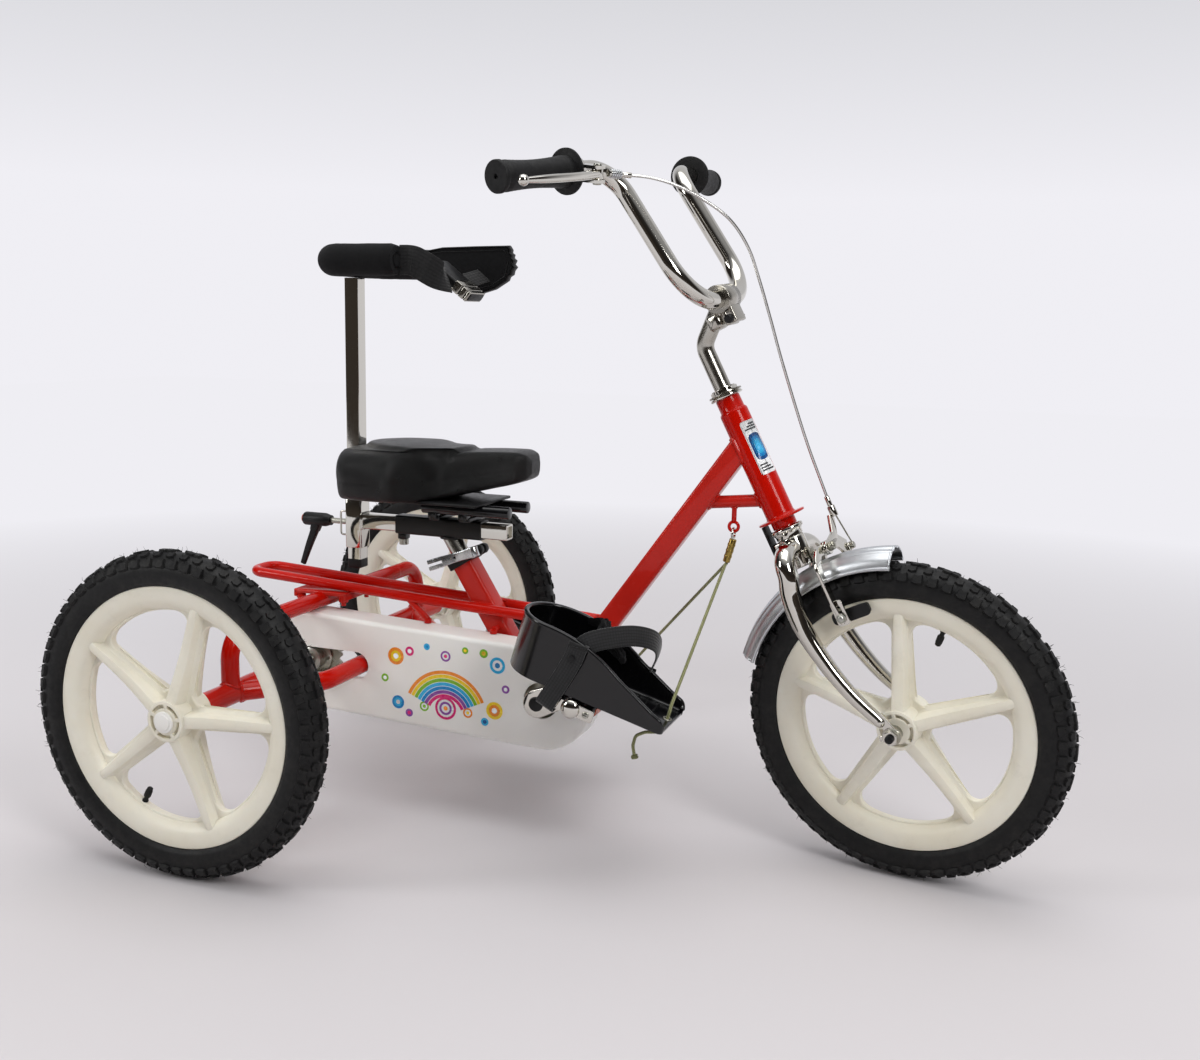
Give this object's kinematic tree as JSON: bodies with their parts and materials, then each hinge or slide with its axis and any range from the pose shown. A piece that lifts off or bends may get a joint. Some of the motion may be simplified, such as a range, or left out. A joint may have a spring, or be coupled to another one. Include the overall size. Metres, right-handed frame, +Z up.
{
  "type": "adaptive tricycle",
  "caption": "Child's adaptive tricycle with a chain-driven rear axle, steered front wheel, cup footplates with elastic cords, low saddle and adjustable backrest with a chest belt.",
  "frame": {"origin": "on the floor under the centre of the overall bounding box", "axes": "+X is the direction of travel, +Y the rider's left, +Z up"},
  "size_m": [1.2044, 0.7446, 0.8931],
  "materials": {
    "red_paint": "gloss enamel",
    "chrome": "polished chrome plate",
    "zinc": "zinc plated",
    "aluminium": "bright drawn or cast",
    "cream_plastic": "moulded, fine satin",
    "white_plastic": "moulded, satin gloss",
    "black_plastic": "moulded, fine grain",
    "black_paint": "satin powder coat",
    "tyre": "matt tread rubber",
    "rubber": "matt",
    "foam": "closed cell foam sleeve, matt",
    "webbing": "woven nylon",
    "vinyl": "grained vinyl cover",
    "elastic": "braided sleeve"
  },
  "bodies": {
    "frame": {"main_frame": "red_paint", "rear_subframe": "red_paint", "headset_race": "chrome", "chain_case": "white_plastic", "chain": "zinc", "seat_collar": "black_paint", "axle_bearing_right": "white_plastic", "axle_bearing_left": "white_plastic", "cord_clip": "zinc", "elastic_cord_right": "elastic", "elastic_cord_left": "elastic"},
    "right_wheel": {"wheel_rear_right": "cream_plastic", "tyre_rear_right": "tyre", "hub_cap_right": "white_plastic", "rear_axle": "zinc", "rear_sprocket": "zinc"},
    "left_wheel": {"wheel_rear_left": "cream_plastic", "tyre_rear_left": "tyre", "hub_cap_left": "white_plastic"},
    "cranks": {"crank_spindle": "zinc", "chainring": "zinc", "crank_right": "chrome", "crank_left": "chrome"},
    "right_pedal": {"pedal_right": "black_plastic", "footplate_right": "black_plastic", "foot_strap_right": "webbing"},
    "left_pedal": {"pedal_left": "black_plastic", "footplate_left": "black_plastic", "foot_strap_left": "webbing"},
    "steering": {"fork": "chrome", "headset_locknut": "chrome", "stem": "chrome", "handlebar": "chrome", "grip_right": "rubber", "grip_left": "rubber", "lever_clamp": "aluminium", "brake_cable": "zinc", "mudguard_front": "aluminium", "caliper_bolt": "chrome", "stop_strip": "rubber", "front_axle": "zinc"},
    "front_wheel": {"wheel_front": "cream_plastic", "tyre_front": "tyre"},
    "brake_lever": {"brake_lever": "aluminium"},
    "caliper_right": {"caliper_arm_right": "aluminium", "brake_shoe_right": "rubber"},
    "caliper_left": {"caliper_arm_left": "aluminium", "brake_shoe_left": "rubber"},
    "seat": {"seat_post": "black_paint", "set_screw": "zinc", "saddle_rods": "black_paint", "saddle": "vinyl"},
    "release_lever": {"quick_release_lever": "aluminium"},
    "backrest_arm": {"backrest_arm": "chrome"},
    "clamp_lever": {"clamp_lever": "black_plastic"},
    "backrest": {"backrest_post": "chrome", "backrest_hoop": "foam", "belt_webbing": "webbing", "belt_buckle": "black_plastic", "belt_pad": "foam"}
  },
  "joints": [
    {"name": "axle_spin", "type": "hinge", "parent": "frame", "child": "right_wheel", "pos_m": [-0.40181, 0, 0.2015], "axis": [0, 1, 0], "continuous": true},
    {"name": "left_wheel_spin", "type": "hinge", "parent": "frame", "child": "left_wheel", "pos_m": [-0.40181, 0.34, 0.2015], "axis": [0, 1, 0], "continuous": true},
    {"name": "crank_spin", "type": "hinge", "parent": "frame", "child": "cranks", "pos_m": [-0.05181, 0, 0.186], "axis": [0, 1, 0], "continuous": true, "deforming": ["elastic_cord_right", "elastic_cord_left"]},
    {"name": "right_pedal_spin", "type": "hinge", "parent": "cranks", "child": "right_pedal", "pos_m": [0.04038, 0, 0.22475], "axis": [0, 1, 0], "continuous": true},
    {"name": "left_pedal_spin", "type": "hinge", "parent": "cranks", "child": "left_pedal", "pos_m": [-0.144, 0, 0.14725], "axis": [0, 1, 0], "continuous": true},
    {"name": "steer", "type": "hinge", "parent": "frame", "child": "steering", "pos_m": [0.37186, 0, 0.1842], "axis": [-0.4587, 0, 0.8886], "range_deg": [-35, 55]},
    {"name": "front_wheel_spin", "type": "hinge", "parent": "steering", "child": "front_wheel", "pos_m": [0.40419, -0.00674, 0.20089], "axis": [0.1619, 0.9833, 0.0836], "continuous": true},
    {"name": "brake_pull", "type": "hinge", "parent": "steering", "child": "brake_lever", "pos_m": [0.04784, -0.15674, 0.83734], "axis": [-0.0929, 0.1852, -0.9783], "range_deg": [0, 6], "stiffness_Nm_per_rad": 6, "springref_deg": -2.86},
    {"name": "caliper_right_close", "type": "hinge", "parent": "steering", "child": "caliper_right", "pos_m": [0.26545, 0, 0.39036], "axis": [0.8737, -0.1822, 0.451], "range_deg": [0, 1.6]},
    {"name": "caliper_left_close", "type": "hinge", "parent": "steering", "child": "caliper_left", "pos_m": [0.26545, 0, 0.39036], "axis": [0.8737, -0.1822, 0.451], "range_deg": [-1.6, 0]},
    {"name": "seat_height", "type": "slide", "parent": "frame", "child": "seat", "axis": [-0.5329, 0, 0.8462], "range_m": [-0.002, 0.058]},
    {"name": "release_lever_swing", "type": "hinge", "parent": "frame", "child": "release_lever", "pos_m": [-0.17192, -0.01805, 0.36498], "axis": [-0.342, 0, 0.9397], "range_deg": [0, 150]},
    {"name": "backrest_reach", "type": "slide", "parent": "seat", "child": "backrest_arm", "axis": [1, 0, 0], "range_m": [-0.06, 0]},
    {"name": "clamp_lever_turn", "type": "hinge", "parent": "backrest_arm", "child": "clamp_lever", "pos_m": [-0.40181, 0, 0.388], "axis": [1, 0, 0], "range_deg": [-100, 100]},
    {"name": "backrest_height", "type": "slide", "parent": "backrest_arm", "child": "backrest", "axis": [0, 0, 1], "range_m": [-0.025, 0.07]}
  ],
  "couplings": [
    {"joint": "crank_spin", "follows": "axle_spin", "ratio": 0.73077},
    {"joint": "right_pedal_spin", "follows": "axle_spin", "ratio": -0.73077},
    {"joint": "left_pedal_spin", "follows": "axle_spin", "ratio": -0.73077},
    {"joint": "caliper_right_close", "follows": "brake_pull", "ratio": 0.25},
    {"joint": "caliper_left_close", "follows": "brake_pull", "ratio": -0.25}
  ]
}
